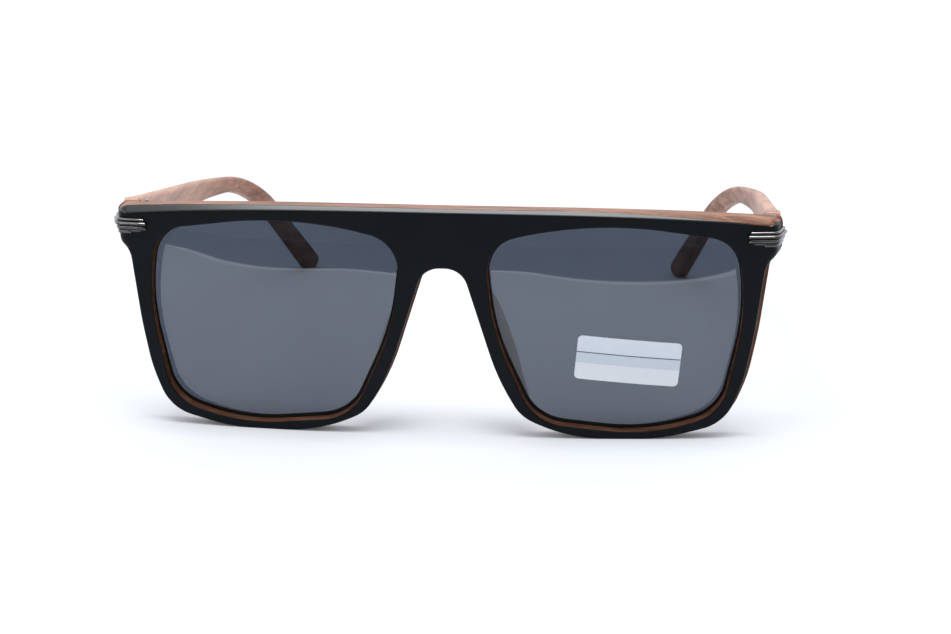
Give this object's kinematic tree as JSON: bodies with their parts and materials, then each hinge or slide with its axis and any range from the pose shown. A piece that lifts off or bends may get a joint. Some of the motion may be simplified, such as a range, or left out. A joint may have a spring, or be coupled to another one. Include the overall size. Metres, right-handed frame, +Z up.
{
  "type": "square sunglasses",
  "caption": "Square flat-top sunglasses with a wood-grain body, black face layer, grey lenses, ribbed corner trims and temples that fold on screwed hinges.",
  "frame": {"origin": "middle of the box round the open glasses, on the surface that they stand on", "axes": "+X towards the right-hand lens as seen from the front, +Y from the front to the temple tips, +Z up"},
  "size_m": [0.1472, 0.1398, 0.0509],
  "materials": {
    "frame_wood": "satin wood-grain plastic",
    "face_black": "satin black",
    "lens": "grey polarised plastic, polished",
    "pad": "translucent grey-brown plastic",
    "gunmetal": "polished gunmetal",
    "hinge_steel": "satin nickel",
    "screw_steel": "bright steel",
    "temple_wood": "satin wood-grain plastic",
    "core_wire": "drawn wire",
    "label": "semi-matt film label"
  },
  "bodies": {
    "front": {"front_frame": "frame_wood", "front_face": "face_black", "lens_left": "lens", "lens_right": "lens", "nose_pad_left": "pad", "nose_pad_right": "pad", "trim_left": "gunmetal", "trim_right": "gunmetal", "hinge_front_left": "hinge_steel", "hinge_front_right": "hinge_steel", "hinge_screw_left": "screw_steel", "hinge_screw_right": "screw_steel", "lens_label": "label"},
    "temple_left_arm": {"temple_left": "temple_wood", "temple_core_left": "core_wire", "hinge_temple_left": "hinge_steel", "hinge_rivets_left": "screw_steel"},
    "temple_right_arm": {"temple_right": "temple_wood", "temple_core_right": "core_wire", "hinge_temple_right": "hinge_steel", "hinge_rivets_right": "screw_steel"}
  },
  "joints": [
    {"name": "fold_left", "type": "hinge", "parent": "front", "child": "temple_left_arm", "pos_m": [-0.067, -0.05676, 0.04445], "axis": [0, 0, -1], "range_deg": [0, 84]},
    {"name": "fold_right", "type": "hinge", "parent": "front", "child": "temple_right_arm", "pos_m": [0.067, -0.05676, 0.04445], "axis": [0, 0, 1], "range_deg": [0, 76]}
  ]
}
